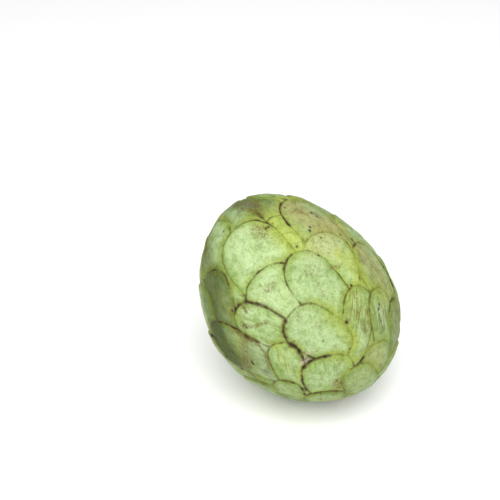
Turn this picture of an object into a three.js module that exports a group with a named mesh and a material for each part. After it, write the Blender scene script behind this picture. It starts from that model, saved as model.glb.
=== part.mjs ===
// Custard apple: one whole fruit of the cherimoya kind, and the stump of its stem.
// Its skin is made of large flat scales that overlap like shingles: their round ends point to the
// blossom end, and each lies over those nearer to it. The fruit stands a little askew on its stem end.
// Millimetres, +Z up. The origin is on the surface that the fruit rests on, under its middle.

import * as THREE from 'three';
import { mergeVertices } from 'three/addons/utils/BufferGeometryUtils.js';

// The body, in the fruit's own frame: +Z runs from its stem end to its narrower end
const HALF_LENGTH = 53;
const HALF_WIDTH = 42.5;
const TAPER = 0.09;
const LOPSIDED = new THREE.Vector2(-0.085, -0.12);
const SWELLS = [
  { lat: -12, lon: -126, height: 2.5, spread: 32 },
  { lat: -2, lon: 49, height: 1.8, spread: 32 },
  { lat: -52, lon: 186, height: 6.5, spread: 26 },
  { lat: -45, lon: -5, height: 1.2, spread: 30 },
];

// How the fruit stands: its axis leans over, then the fruit is turned on the spot
const LEAN = 21.5;
const TURN = -42;
const FLAT_SPOT_DEPTH = 1.8;
const FLAT_SPOT_SPREAD = 17;
const FLAT_SPOT_CALM = 0.7;

// The stem cavity, and the stump that stands in it
const CAVITY_DEPTH = 7;
const CAVITY_RADIUS = 10.5;
const CAVITY_CALM_RADIUS = 13;
const UNDERSIDE = -0.5;
const STUMP_RADIUS = 3.9;
const STUMP_LENGTH = 8;
const STUMP_GAP = 0.3;
const STUMP_SIDES = 24;
const STUMP_FOOTING = 4.6;
// Outline of the stump from its foot to its cut end: shares of its radius and of its length
const STUMP_OUTLINE = [[1, 0], [0.97, 0.15], [0.84, 0.45], [0.86, 0.75], [0.98, 0.93], [0.94, 1]];

// The blossom end, where the scales meet, is off the body's own axis
const BLOSSOM = { lat: 74, lon: 130 };
const BLOSSOM_PIT_DEPTH = 1;
const BLOSSOM_PIT_RADIUS = 3;

// Relief of a scale: a dished face, a rim that stands up at its tip, and a groove along its rim
const RIM_HEIGHT = 0.7;
const DISH_DEPTH = 1.1;
const TIP_RISE = 0.4;
const RIM_SOFTNESS = 0.35;
const GROOVE_DEPTH = 1.5;
const GROOVE_WIDTH = 1.6;
const TIP_POWER = 2.2;
const TAIL_POWER = 2.6;
const TAIL_FALL = -0.6;
const SCALE_REACH = 42;
const NO_CREASE = 9;

// Scales of the front and top: where the middle of each lies in the fruit's own frame, in degrees,
// half its width and the height of its tip in mm, how far its tip leans from the blossom end,
// its layer (higher ones lie over lower ones) and its tail's length in heights of the tip
const FRONT_SCALES = [
  { lat: 72, lon: -88, halfWidth: 11.5, tip: 13, lean: -40, layer: 32, tail: 1.8 },
  { lat: 69, lon: -8, halfWidth: 7, tip: 8.5, lean: -12, layer: 34, tail: 1.8 },
  { lat: 53, lon: -22, halfWidth: 7.5, tip: 8, lean: 7, layer: 46, tail: 2.4 },
  { lat: 50, lon: 17, halfWidth: 12.5, tip: 15, lean: 0, layer: 48, tail: 2.4 },
  { lat: 47, lon: -107, halfWidth: 12, tip: 14.5, lean: -25, layer: 53, tail: 2.4 },
  { lat: 43, lon: -57, halfWidth: 15.5, tip: 17, lean: -30, layer: 61, tail: 1.9 },
  { lat: 30, lon: 1, halfWidth: 13, tip: 10.5, lean: 20, layer: 70, tail: 2.8 },
  { lat: 26, lon: -99.5, halfWidth: 9.5, tip: 8, lean: -12, layer: 75, tail: 3.4 },
  { lat: 14, lon: 26, halfWidth: 10.5, tip: 10.5, lean: 6, layer: 79, tail: 2.2 },
  { lat: 23.5, lon: -51, halfWidth: 13.5, tip: 10.5, lean: -25, layer: 81, tail: 1.9 },
  { lat: 20.5, lon: -23, halfWidth: 11.3, tip: 16.5, lean: -21, layer: 82, tail: 1.8 },
  { lat: 8, lon: -69.5, halfWidth: 9.4, tip: 11.8, lean: -52, layer: 94, tail: 1.9 },
  { lat: -9, lon: -87, halfWidth: 11.5, tip: 22, lean: -48, layer: 101, tail: 1.2 },
  { lat: 1, lon: -40.2, halfWidth: 11.3, tip: 10.8, lean: -44, layer: 104, tail: 2.1 },
  { lat: 1, lon: -5, halfWidth: 8.5, tip: 9.5, lean: 28, layer: 103, tail: 3 },
  { lat: -7, lon: 10.5, halfWidth: 8.5, tip: 10, lean: 4, layer: 105, tail: 2.8 },
  { lat: -17, lon: 25.5, halfWidth: 8, tip: 8, lean: 8, layer: 111, tail: 2.8 },
  { lat: -13, lon: -62, halfWidth: 8, tip: 9.5, lean: 15, layer: 118, tail: 2.4 },
  { lat: -30.5, lon: -6, halfWidth: 9.8, tip: 8.2, lean: -8, layer: 130, tail: 2.6 },
  { lat: -25.5, lon: -41, halfWidth: 12, tip: 9, lean: 12, layer: 132, tail: 2.2 },
  { lat: -36, lon: -103, halfWidth: 11, tip: 8.5, lean: 20, layer: 138, tail: 2.2 },
  { lat: -36, lon: -76, halfWidth: 7.2, tip: 8.6, lean: 38, layer: 140, tail: 2.4 },
  { lat: -39, lon: -22.5, halfWidth: 8.6, tip: 9.6, lean: -30, layer: 144, tail: 2.2 },
  { lat: -52, lon: -56, halfWidth: 10, tip: 9, lean: 24, layer: 159, tail: 2 },
];

// The other scales lie on a spiral round the blossom end and push each other apart
const SPIRAL_SCALES = 58;
const SPIRAL_TURN = 2.399963;
const CLEAR_OF_FRONT = 0.4;
const PUSH_ROUNDS = 60;
const PUSH_REACH = 0.75;
const PUSH_STEP = 0.15;
const OTHER_HALF_WIDTH = 12.8;
const OTHER_TIP = 12.3;
const OTHER_TAIL = 1.9;
const OTHER_LEAN = 24;
const END_SIZE = 0.72;
const MIDDLE_GROWTH = 0.33;
const SIZE_VARIETY = 0.2;

// The mesh: a ball of triangles. Where an edge crosses a crease, its nearer end is drawn onto the crease
const BALL_DETAIL = 21;
const HALVINGS = 10;
const CREASE_ROUNDS = 3;
const MERGE_DISTANCE = 1e-5;
const TANGENT_STEP = 1e-4;
const TINY = 1e-9;

const skinMaterial = new THREE.MeshStandardMaterial({ color: 0xb9cf83, roughness: 0.5, metalness: 0 });
const stemMaterial = new THREE.MeshStandardMaterial({ color: 0x7a6040, roughness: 0.85, metalness: 0 });

/** Unit vector of a latitude and a longitude in degrees. */
function direction(lat, lon) {
  const up = THREE.MathUtils.degToRad(lat);
  const round = THREE.MathUtils.degToRad(lon);
  return new THREE.Vector3(Math.cos(up) * Math.cos(round), Math.cos(up) * Math.sin(round), Math.sin(up));
}

const blossom = direction(BLOSSOM.lat, BLOSSOM.lon);
const swells = SWELLS.map((swell) => ({
  ...swell,
  centre: direction(swell.lat, swell.lon),
  width: 1 - Math.cos(THREE.MathUtils.degToRad(swell.spread)),
}));
const stand = new THREE.Matrix4()
  .makeRotationZ(THREE.MathUtils.degToRad(TURN))
  .multiply(new THREE.Matrix4().makeRotationY(THREE.MathUtils.degToRad(-LEAN)));
const down = new THREE.Vector3(0, 0, -1).transformDirection(stand.clone().invert());
const stemFoot = new THREE.Vector2(-HALF_LENGTH * LOPSIDED.x, -HALF_LENGTH * LOPSIDED.y);

/** Point of the smooth body, without scales or cavity, in the ball's direction d. */
function bodyPoint(d) {
  const girth = HALF_WIDTH * (1 - TAPER * d.z);
  const point = new THREE.Vector3(girth * d.x, girth * d.y, HALF_LENGTH * d.z);
  point.x += LOPSIDED.x * point.z;
  point.y += LOPSIDED.y * point.z;
  for (const swell of swells) {
    const size = swell.height * Math.exp((d.dot(swell.centre) - 1) / swell.width);
    point.addScaledVector(d, size);
  }
  return point;
}

/** Unit vector from one direction of the ball towards the blossom end, along the ball. */
function towardsBlossom(d) {
  return blossom.clone().addScaledVector(d, -blossom.dot(d)).normalize();
}

/** A scale with the place of its middle and its two directions on the body worked out. */
function placeScale(d, { halfWidth, tip, lean, layer, tail }) {
  const north = towardsBlossom(d);
  const east = north.clone().cross(d);
  const turn = THREE.MathUtils.degToRad(lean);
  const along = north.multiplyScalar(Math.cos(turn)).addScaledVector(east, Math.sin(turn));
  const across = along.clone().cross(d);
  const middle = bodyPoint(d);
  const stepFrom = (way) => bodyPoint(d.clone().addScaledVector(way, TANGENT_STEP).normalize()).sub(middle);
  const tipward = stepFrom(along).normalize();
  const sideways = stepFrom(across);
  sideways.addScaledVector(tipward, -sideways.dot(tipward)).normalize();
  return { middle, tipward, sideways, halfWidth, tip, layer, tail: tip * tail };
}

/** A number from 0 to 1 that is always the same for one scale and one use. */
function variety(index, use) {
  const wave = Math.sin(index * 12.9898 + use * 78.233) * 43758.5453;
  return wave - Math.floor(wave);
}

/** Directions of the scales that the spiral adds beside those of the front. */
function spiralDirections(front) {
  const first = blossom.clone().cross(new THREE.Vector3(1, 0, 0)).normalize();
  const second = blossom.clone().cross(first);
  const others = [];
  for (let k = 0; k < SPIRAL_SCALES; k += 1) {
    const height = 1 - (2 * (k + 0.5)) / SPIRAL_SCALES;
    const ring = Math.sqrt(1 - height * height);
    const d = blossom.clone().multiplyScalar(height)
      .addScaledVector(first, Math.cos(k * SPIRAL_TURN) * ring)
      .addScaledVector(second, Math.sin(k * SPIRAL_TURN) * ring);
    if (front.every((taken) => taken.distanceTo(d) > CLEAR_OF_FRONT)) others.push(d);
  }
  return others;
}

/** Pushes the other scales apart, and off those of the front, until they lie evenly. */
function spreadOut(front, others) {
  let free = others;
  for (let round = 0; round < PUSH_ROUNDS; round += 1) {
    const all = [...front, ...free];
    free = free.map((d) => {
      const push = new THREE.Vector3();
      for (const other of all) {
        const away = d.clone().sub(other);
        const distance = away.length();
        if (other !== d && distance < PUSH_REACH) {
          push.addScaledVector(away, (PUSH_REACH - distance) ** 2 / distance);
        }
      }
      return d.clone().addScaledVector(push, PUSH_STEP).normalize();
    });
  }
  return free;
}

/** All scales of the fruit, from the lowest layer to the highest. */
function makeScales() {
  const front = FRONT_SCALES.map((scale) => direction(scale.lat, scale.lon));
  const scales = FRONT_SCALES.map((scale, index) => placeScale(front[index], scale));
  spreadOut(front, spiralDirections(front)).forEach((d, index) => {
    const fromBlossom = Math.acos(d.dot(blossom));
    const size = END_SIZE + MIDDLE_GROWTH * Math.sin(fromBlossom);
    const vary = (use) => 1 + SIZE_VARIETY * (variety(index, use) - 0.5);
    scales.push(placeScale(d, {
      halfWidth: OTHER_HALF_WIDTH * size * vary(1),
      tip: OTHER_TIP * size * vary(2),
      lean: OTHER_LEAN * (variety(index, 3) - 0.5),
      layer: THREE.MathUtils.radToDeg(fromBlossom),
      tail: OTHER_TAIL,
    }));
  });
  return scales.sort((a, b) => a.layer - b.layer);
}

const scales = makeScales();

/** How a point lies to one scale: its level (1 on the rim), its place along it and how deep inside it is. */
function readScale(point, scale) {
  const from = point.clone().sub(scale.middle);
  const chord = from.length();
  const side = from.dot(scale.sideways);
  const along = from.dot(scale.tipward);
  const flat = Math.hypot(side, along) + TINY;
  const u = (side / flat) * chord;
  const v = (along / flat) * chord;
  const reach = v > 0 ? scale.tip : scale.tail;
  const power = v > 0 ? TIP_POWER : TAIL_POWER;
  const sum = Math.abs(u / scale.halfWidth) ** power + Math.abs(v / reach) ** power;
  const level = sum ** (1 / power) + TINY;
  return { level, along: v / scale.tip, inside: chord / level - chord };
}

/** The skin in the ball's direction d: height of the scales over the smooth body, and the scale on top. */
function readSkin(d) {
  const point = bodyPoint(d);
  let height = 0;
  let crease = NO_CREASE;
  let owner = -1;
  scales.forEach((scale, index) => {
    if (point.distanceTo(scale.middle) > SCALE_REACH) return;
    const { level, along, inside } = readScale(point, scale);
    const cover = THREE.MathUtils.smoothstep(inside, -RIM_SOFTNESS, RIM_SOFTNESS);
    const dish = DISH_DEPTH * (1 - Math.min(level, 1) ** 2);
    const own = RIM_HEIGHT - dish + TIP_RISE * THREE.MathUtils.clamp(along, TAIL_FALL, 1);
    height += (own - height) * cover;
    crease = inside > 0 ? inside : Math.min(crease, -inside);
    if (inside > 0) owner = index;
  });
  const groove = GROOVE_DEPTH * Math.exp(-((crease / GROOVE_WIDTH) ** 2));
  return { height: height - groove, owner };
}

/** Where on the arc from one direction to another, from 0 to 1, the scale on top first changes. */
function crossing(from, to, owner) {
  let near = 0;
  let far = 1;
  for (let halving = 0; halving < HALVINGS; halving += 1) {
    const middle = (near + far) / 2;
    const d = from.clone().lerp(to, middle).normalize();
    if (readSkin(d).owner === owner) near = middle;
    else far = middle;
  }
  return (near + far) / 2;
}

/** The two ends of every edge of the mesh, each edge once. */
function edgesOf(triangles) {
  const edges = [];
  for (let i = 0; i < triangles.length; i += 3) {
    for (let side = 0; side < 3; side += 1) {
      const a = triangles[i + side];
      const b = triangles[i + ((side + 1) % 3)];
      if (a < b) edges.push([a, b]);
    }
  }
  return edges;
}

/** Moves, for each edge that crosses a crease, the end that is nearer to the crease onto it. */
function drawOntoCreases(directions, edges, settled) {
  const owners = directions.map((d) => readSkin(d).owner);
  const moves = new Map();
  for (const [a, b] of edges) {
    if (owners[a] === owners[b] || settled.has(a) || settled.has(b)) continue;
    const share = crossing(directions[a], directions[b], owners[a]);
    const end = share < 0.5 ? a : b;
    const moved = Math.min(share, 1 - share);
    if (!moves.has(end) || moved < moves.get(end).moved) {
      moves.set(end, { moved, to: directions[a].clone().lerp(directions[b], share).normalize() });
    }
  }
  for (const [index, { to }] of moves) {
    directions[index] = to;
    settled.add(index);
  }
}

/** Moves every corner that isn't on a crease to the middle of its neighbours. */
function evenOut(directions, edges, settled) {
  const sums = directions.map(() => new THREE.Vector3());
  for (const [a, b] of edges) {
    sums[a].add(directions[b]);
    sums[b].add(directions[a]);
  }
  sums.forEach((sum, index) => {
    if (!settled.has(index)) directions[index] = sum.normalize();
  });
}

/** The ball's directions with its edges led along the creases. */
function followCreases(directions, triangles) {
  const edges = edgesOf(triangles);
  const led = [...directions];
  const settled = new Set();
  for (let round = 0; round < CREASE_ROUNDS; round += 1) {
    drawOntoCreases(led, edges, settled);
    evenOut(led, edges, settled);
  }
  return led;
}

/** Distance of a point from the line of the stem. */
function fromStem(point) {
  return Math.hypot(point.x - stemFoot.x, point.y - stemFoot.y);
}

/** Point of the finished skin in the ball's direction d, in the fruit's own frame. */
function skinPoint(d) {
  const point = bodyPoint(d);
  const below = d.z < UNDERSIDE;
  const reach = fromStem(point);
  const cavityCalm = below ? Math.exp(-((reach / CAVITY_CALM_RADIUS) ** 4)) : 0;
  const restAngle = THREE.MathUtils.radToDeg(d.angleTo(down));
  const restCalm = FLAT_SPOT_CALM * Math.exp(-((restAngle / FLAT_SPOT_SPREAD) ** 2));
  const pitReach = point.distanceTo(bodyPoint(blossom));
  const pit = BLOSSOM_PIT_DEPTH * Math.exp(-((pitReach / BLOSSOM_PIT_RADIUS) ** 2));
  const height = readSkin(d).height * (1 - cavityCalm) * (1 - restCalm) - pit;
  point.addScaledVector(d, height);
  if (below) point.z += CAVITY_DEPTH * Math.exp(-((reach / CAVITY_RADIUS) ** 4));
  return point;
}

/** Height of the cavity's floor where the stump stands: its lowest place under the stump's rim. */
function cavityFloor() {
  let lowest = skinPoint(new THREE.Vector3(0, 0, -1)).z;
  for (let k = 0; k < STUMP_SIDES; k += 1) {
    const round = (2 * Math.PI * k) / STUMP_SIDES;
    const out = STUMP_FOOTING / HALF_WIDTH;
    const d = new THREE.Vector3(Math.cos(round) * out, Math.sin(round) * out, -1).normalize();
    lowest = Math.min(lowest, skinPoint(d).z);
  }
  return lowest;
}

/** The whole skin as a closed mesh, standing on a flat spot at height 0 in its own place. */
function makeFruit() {
  const ball = new THREE.IcosahedronGeometry(1, BALL_DETAIL);
  ball.deleteAttribute('normal');
  ball.deleteAttribute('uv');
  const geometry = mergeVertices(ball, MERGE_DISTANCE);
  const corners = geometry.getAttribute('position');
  const directions = [];
  for (let i = 0; i < corners.count; i += 1) {
    directions.push(new THREE.Vector3().fromBufferAttribute(corners, i).normalize());
  }
  const triangles = geometry.getIndex().array;
  const points = followCreases(directions, triangles).map((d) => skinPoint(d).applyMatrix4(stand));
  const box = new THREE.Box3().setFromPoints(points);
  const ground = box.min.z + FLAT_SPOT_DEPTH;
  const middle = box.getCenter(new THREE.Vector3());
  const origin = new THREE.Vector3(middle.x, middle.y, ground);
  points.forEach((point, i) => {
    point.z = Math.max(point.z, ground);
    corners.setXYZ(i, ...point.sub(origin).toArray());
  });
  geometry.computeVertexNormals();
  const fruit = new THREE.Mesh(geometry, skinMaterial);
  fruit.name = 'fruit';
  return { fruit, origin };
}

/** The stump: a short woody stem, a little wider at both ends, standing in the cavity. */
function makeStump(origin) {
  const outline = STUMP_OUTLINE.map(([out, up]) => new THREE.Vector2(STUMP_RADIUS * out, STUMP_LENGTH * up));
  const profile = [new THREE.Vector2(0, 0), ...outline, new THREE.Vector2(0, STUMP_LENGTH)];
  const stump = new THREE.Mesh(new THREE.LatheGeometry(profile, STUMP_SIDES), stemMaterial);
  stump.name = 'stem_stub';
  stump.rotation.x = -Math.PI / 2;
  stump.position.set(stemFoot.x, stemFoot.y, cavityFloor() - STUMP_GAP);
  const leaning = new THREE.Group();
  leaning.rotation.setFromRotationMatrix(stand);
  leaning.position.copy(origin).negate();
  leaning.add(stump);
  return leaning;
}

const { fruit, origin } = makeFruit();
const group = new THREE.Group();
group.name = 'custard_apple';
group.add(fruit, makeStump(origin));

export default group;
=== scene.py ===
"""A custard apple of the cherimoya kind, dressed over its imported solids.

The skin is raised again at a fine grain from the form that its solid has: a lopsided body and large
flat scales that overlap like shingles. What the paint needs, such as the way to the nearest crease,
is kept at the corners of the mesh, and the finish reads it there. Lengths are millimetres unless a
name says otherwise, and become metres as they reach Blender.
"""
import logging
import math
from dataclasses import dataclass
from enum import Enum, IntEnum
from typing import Optional, Union

import bpy
import numpy as np
from mathutils import Matrix, Vector


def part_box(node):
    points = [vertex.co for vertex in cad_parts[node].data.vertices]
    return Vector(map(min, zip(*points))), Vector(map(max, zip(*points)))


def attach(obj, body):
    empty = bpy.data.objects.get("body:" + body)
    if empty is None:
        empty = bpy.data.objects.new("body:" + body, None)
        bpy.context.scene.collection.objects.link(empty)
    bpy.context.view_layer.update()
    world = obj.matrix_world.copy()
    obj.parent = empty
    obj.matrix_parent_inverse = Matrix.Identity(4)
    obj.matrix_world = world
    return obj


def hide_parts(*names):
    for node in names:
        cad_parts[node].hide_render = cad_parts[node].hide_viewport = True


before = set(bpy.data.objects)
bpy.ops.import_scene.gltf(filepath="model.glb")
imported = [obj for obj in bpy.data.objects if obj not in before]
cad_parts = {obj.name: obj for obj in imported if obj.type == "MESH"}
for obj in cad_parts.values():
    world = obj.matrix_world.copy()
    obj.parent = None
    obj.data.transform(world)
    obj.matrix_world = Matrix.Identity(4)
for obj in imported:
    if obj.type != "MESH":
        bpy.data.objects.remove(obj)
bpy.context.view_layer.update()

MM = 0.001
TINY = 1e-9

Array = np.ndarray
Socket = bpy.types.NodeSocket
Value = Union[float, tuple, Socket]
Range = tuple[float, float]

log = logging.getLogger("custard_apple")


class Node(Enum):
    """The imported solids."""

    FRUIT = "fruit"
    STUB = "stem_stub"


class Slot(Enum):
    """The record's material slots."""

    SKIN = "skin"
    STEM = "stem"


class Mark(Enum):
    """What a mark does to the skin, and the name of the value that holds it."""

    CREASE = "ink"
    SPOT = "spot"
    STAIN = "stain"
    PALE = "pale"
    GREY = "grey"
    YELLOW = "yellow"
    # Deeper green, partly painted shade at the outline
    DEEP = "deep"
    # Beige, partly a painted sheen
    WARM = "warm"
    STREAK = "streaky"
    CORK = "cork"
    BLOOM = "bloom"


class Mix(IntEnum):
    """Sockets of a colour mix node."""

    SHARE = 0
    FIRST = 6
    SECOND = 7
    RESULT = 2


class Step(Enum):
    """Small steps of a finish: the type of a node, one setting of it and what that is set to."""

    RAMP = ("ShaderNodeMapRange", "interpolation_type", "LINEAR")
    SOFT_RAMP = ("ShaderNodeMapRange", "interpolation_type", "SMOOTHSTEP")
    TIMES = ("ShaderNodeMath", "operation", "MULTIPLY")
    PLUS = ("ShaderNodeMath", "operation", "ADD")
    BELOW = ("ShaderNodeMath", "operation", "LESS_THAN")
    CLOSE_TO = ("ShaderNodeMath", "operation", "COMPARE")


StepRow = tuple[Union[str, float, Step], ...]


def unit(vectors: Array) -> Array:
    """Vectors brought to length 1."""
    return vectors / np.linalg.norm(vectors, axis=-1, keepdims=True)


def direction(lat: float, lon: float) -> Array:
    """Unit vector of a latitude and a longitude in degrees."""
    up, around = math.radians(lat), math.radians(lon)
    return np.array([math.cos(up) * math.cos(around), math.cos(up) * math.sin(around), math.sin(up)])


def smoothstep(values: Array, low: float, high: float) -> Array:
    """0 below low, 1 above high, and a smooth rise between them."""
    share = np.clip((values - low) / (high - low), 0, 1)
    return share * share * (3 - 2 * share)


def fade(distances: Array, near: float, far: float) -> Array:
    """1 up to near, 0 beyond far, and a smooth fall between them."""
    return smoothstep(-distances, -far, -near)


def bell(distances: Array, width: float, power: int = 2) -> Array:
    """1 at no distance, falling smoothly to nothing past the width."""
    return np.exp(-(distances / width) ** power)


def variety(index: int, use: int) -> float:
    """A number from 0 to 1 that is always the same for one scale and one use."""
    index_step, use_step, stir = 12.9898, 78.233, 43758.5453
    wave = math.sin(index * index_step + use * use_step) * stir
    return wave - math.floor(wave)


def ripple(points: Array, wavelength: float, seed: int) -> Array:
    """Smooth waves in every direction, from about -1 to 1.

    Args:
        points: Places in mm, one a row.
        wavelength: Distance from crest to crest in mm.
        seed: Chooses the waves.

    Returns:
        The height of the waves at each point.
    """
    count, shortest, longest, evenness = 14, 0.75, 1.35, 1.2
    draw = np.random.RandomState(seed)
    ways = unit(draw.normal(size=(count, 3)))
    lengths = wavelength * draw.uniform(shortest, longest, count)
    starts = draw.uniform(0, 2 * math.pi, count)
    waves = np.sin(points @ (ways / lengths[:, None]).T * 2 * math.pi + starts)
    return waves.sum(axis=1) / math.sqrt(count * evenness)


def layered_ripple(points: Array, layers: tuple[Range, ...], seed: int) -> Array:
    """Ripples of several wavelengths on each other: each layer is a wavelength in mm and a height."""
    return sum(height * ripple(points, length, seed + k) for k, (length, height) in enumerate(layers))


def distance_to_path(points: Array, path: Array) -> Array:
    """Distance of each point from a line of straight stretches, or from its only point."""
    nearest = np.linalg.norm(points - path[0], axis=1)
    for start, end in zip(path[:-1], path[1:]):
        span = end - start
        share = np.clip((points - start) @ span / (span @ span + TINY), 0, 1)
        nearest = np.minimum(nearest, np.linalg.norm(points - start - share[:, None] * span, axis=1))
    return nearest


def linear(colour: str) -> tuple[float, float, float, float]:
    """An sRGB colour such as #A0B0C0 as linear light with full alpha."""
    channels = [int(colour[i:i + 2], 16) / 255 for i in (1, 3, 5)]
    light = [c / 12.92 if c <= 0.04045 else ((c + 0.055) / 1.055) ** 2.4 for c in channels]
    return (*light, 1.0)


def add_node(tree: bpy.types.NodeTree, kind: str, sockets: Optional[dict[Union[int, str], Value]] = None,
             **settings: object) -> bpy.types.Node:
    """Adds a node with its settings, and fills its sockets with values or links.

    Args:
        tree: The node tree.
        kind: The node's type name.
        sockets: What goes into each input, by name or number.
        settings: The node's own properties.

    Returns:
        The new node.
    """
    node = tree.nodes.new(kind)
    for name, value in settings.items():
        setattr(node, name, value)
    for key, value in (sockets or {}).items():
        if isinstance(value, Socket):
            tree.links.new(value, node.inputs[key])
        else:
            node.inputs[key].default_value = value
    return node


def add_steps(tree: bpy.types.NodeTree, made: dict[str, Socket], steps: tuple[StepRow, ...]) -> None:
    """Adds small steps one after another, and keeps what each gives by its name.

    Args:
        tree: The node tree.
        made: What has been made so far, to which the steps add.
        steps: Rows of a name, a step and what goes into its sockets, where a name means what it gave.
    """
    for name, step, *inputs in steps:
        kind, setting, choice = step.value
        sockets = {k: made[item] if isinstance(item, str) else item for k, item in enumerate(inputs)}
        made[name] = add_node(tree, kind, sockets, **{setting: choice}).outputs[0]


def new_material(name: str) -> tuple[bpy.types.Material, bpy.types.NodeTree, bpy.types.Node]:
    """A new material with its node tree and its shader."""
    material = bpy.data.materials.new(name)
    material.use_nodes = True
    return material, material.node_tree, material.node_tree.nodes["Principled BSDF"]


def place_in_mm(tree: bpy.types.NodeTree) -> Socket:
    """The place on the object in mm, for patterns of a real size."""
    place = add_node(tree, "ShaderNodeTexCoord").outputs["Object"]
    return add_node(tree, "ShaderNodeVectorMath", {0: place, "Scale": 1 / MM}, operation="SCALE").outputs[0]


def add_object(name: str, data: bpy.types.ID) -> bpy.types.Object:
    """Adds an object to the scene."""
    added = bpy.data.objects.new(name, data)
    bpy.context.scene.collection.objects.link(added)
    return added


@dataclass(frozen=True)
class Swell:
    """A soft bulge of the body: where it is in degrees, its height in mm and its spread in degrees."""

    lat: float
    lon: float
    height: float
    spread: float


@dataclass(frozen=True)
class ScaleForm:
    """One scale of the skin, read along its middle line.

    The middle is given by latitude and longitude in the fruit's own frame. half_width and tip are
    in mm, lean turns the tip away from the blossom end in degrees, a higher layer lies over a lower
    one, tail is the length of the covered end in heights of the tip, and the last number is how light
    its skin is: its own tone, with painted shade on the darker scales near the outline.
    """

    lat: float
    lon: float
    half_width: float
    tip: float
    lean: float
    layer: float
    tail: float
    tone: float = 1


# The lowest last numbers, on scales near the outline, are painted shade as much as the skin's own tone
FRONT_SCALES = (
    ScaleForm(72, -88, 11.5, 13, -40, 32, 1.8, 0.83),
    ScaleForm(69, -8, 7, 8.5, -12, 34, 1.8, 0.92),
    ScaleForm(53, -22, 7.5, 8, 7, 46, 2.4, 1.04),
    ScaleForm(50, 17, 12.5, 15, 0, 48, 2.4, 0.92),
    ScaleForm(47, -107, 12, 14.5, -25, 53, 2.4, 0.93),
    ScaleForm(43, -57, 15.5, 17, -30, 61, 1.9),
    ScaleForm(30, 1, 13, 10.5, 20, 70, 2.8, 1.03),
    ScaleForm(26, -99.5, 9.5, 8, -12, 75, 3.4, 0.58),
    ScaleForm(14, 26, 10.5, 10.5, 6, 79, 2.2, 0.9),
    ScaleForm(23.5, -51, 13.5, 10.5, -25, 81, 1.9, 0.98),
    ScaleForm(20.5, -23, 11.3, 16.5, -21, 82, 1.8, 0.94),
    ScaleForm(8, -69.5, 9.4, 11.8, -52, 94, 1.9, 0.98),
    ScaleForm(-9, -87, 11.5, 22, -48, 101, 1.2, 0.72),
    ScaleForm(1, -40.2, 11.3, 10.8, -44, 104, 2.1, 0.9),
    ScaleForm(1, -5, 8.5, 9.5, 28, 103, 3, 0.9),
    ScaleForm(-7, 10.5, 8.5, 10, 4, 105, 2.8, 0.87),
    ScaleForm(-17, 25.5, 8, 8, 8, 111, 2.8, 0.62),
    ScaleForm(-13, -62, 8, 9.5, 15, 118, 2.4, 1),
    ScaleForm(-30.5, -6, 9.8, 8.2, -8, 130, 2.6, 0.84),
    ScaleForm(-25.5, -41, 12, 9, 12, 132, 2.2, 0.96),
    ScaleForm(-36, -103, 11, 8.5, 20, 138, 2.2, 0.86),
    ScaleForm(-36, -76, 7.2, 8.6, 38, 140, 2.4, 0.86),
    ScaleForm(-39, -22.5, 8.6, 9.6, -30, 144, 2.2, 0.79),
    ScaleForm(-52, -56, 10, 9, 24, 159, 2, 0.79),
)


@dataclass(frozen=True)
class Stroke:
    """A mark seen on the front of the fruit.

    width is its half width in mm, strength goes from 0 to 1, and path holds its places in pixels of
    the photograph, right and down, which are laid on the skin through the photograph's camera.
    """

    mark: Mark
    width: float
    strength: float
    path: list[Range]


# The tables below hold the width and the strength of each stroke, and then its path.

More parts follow.
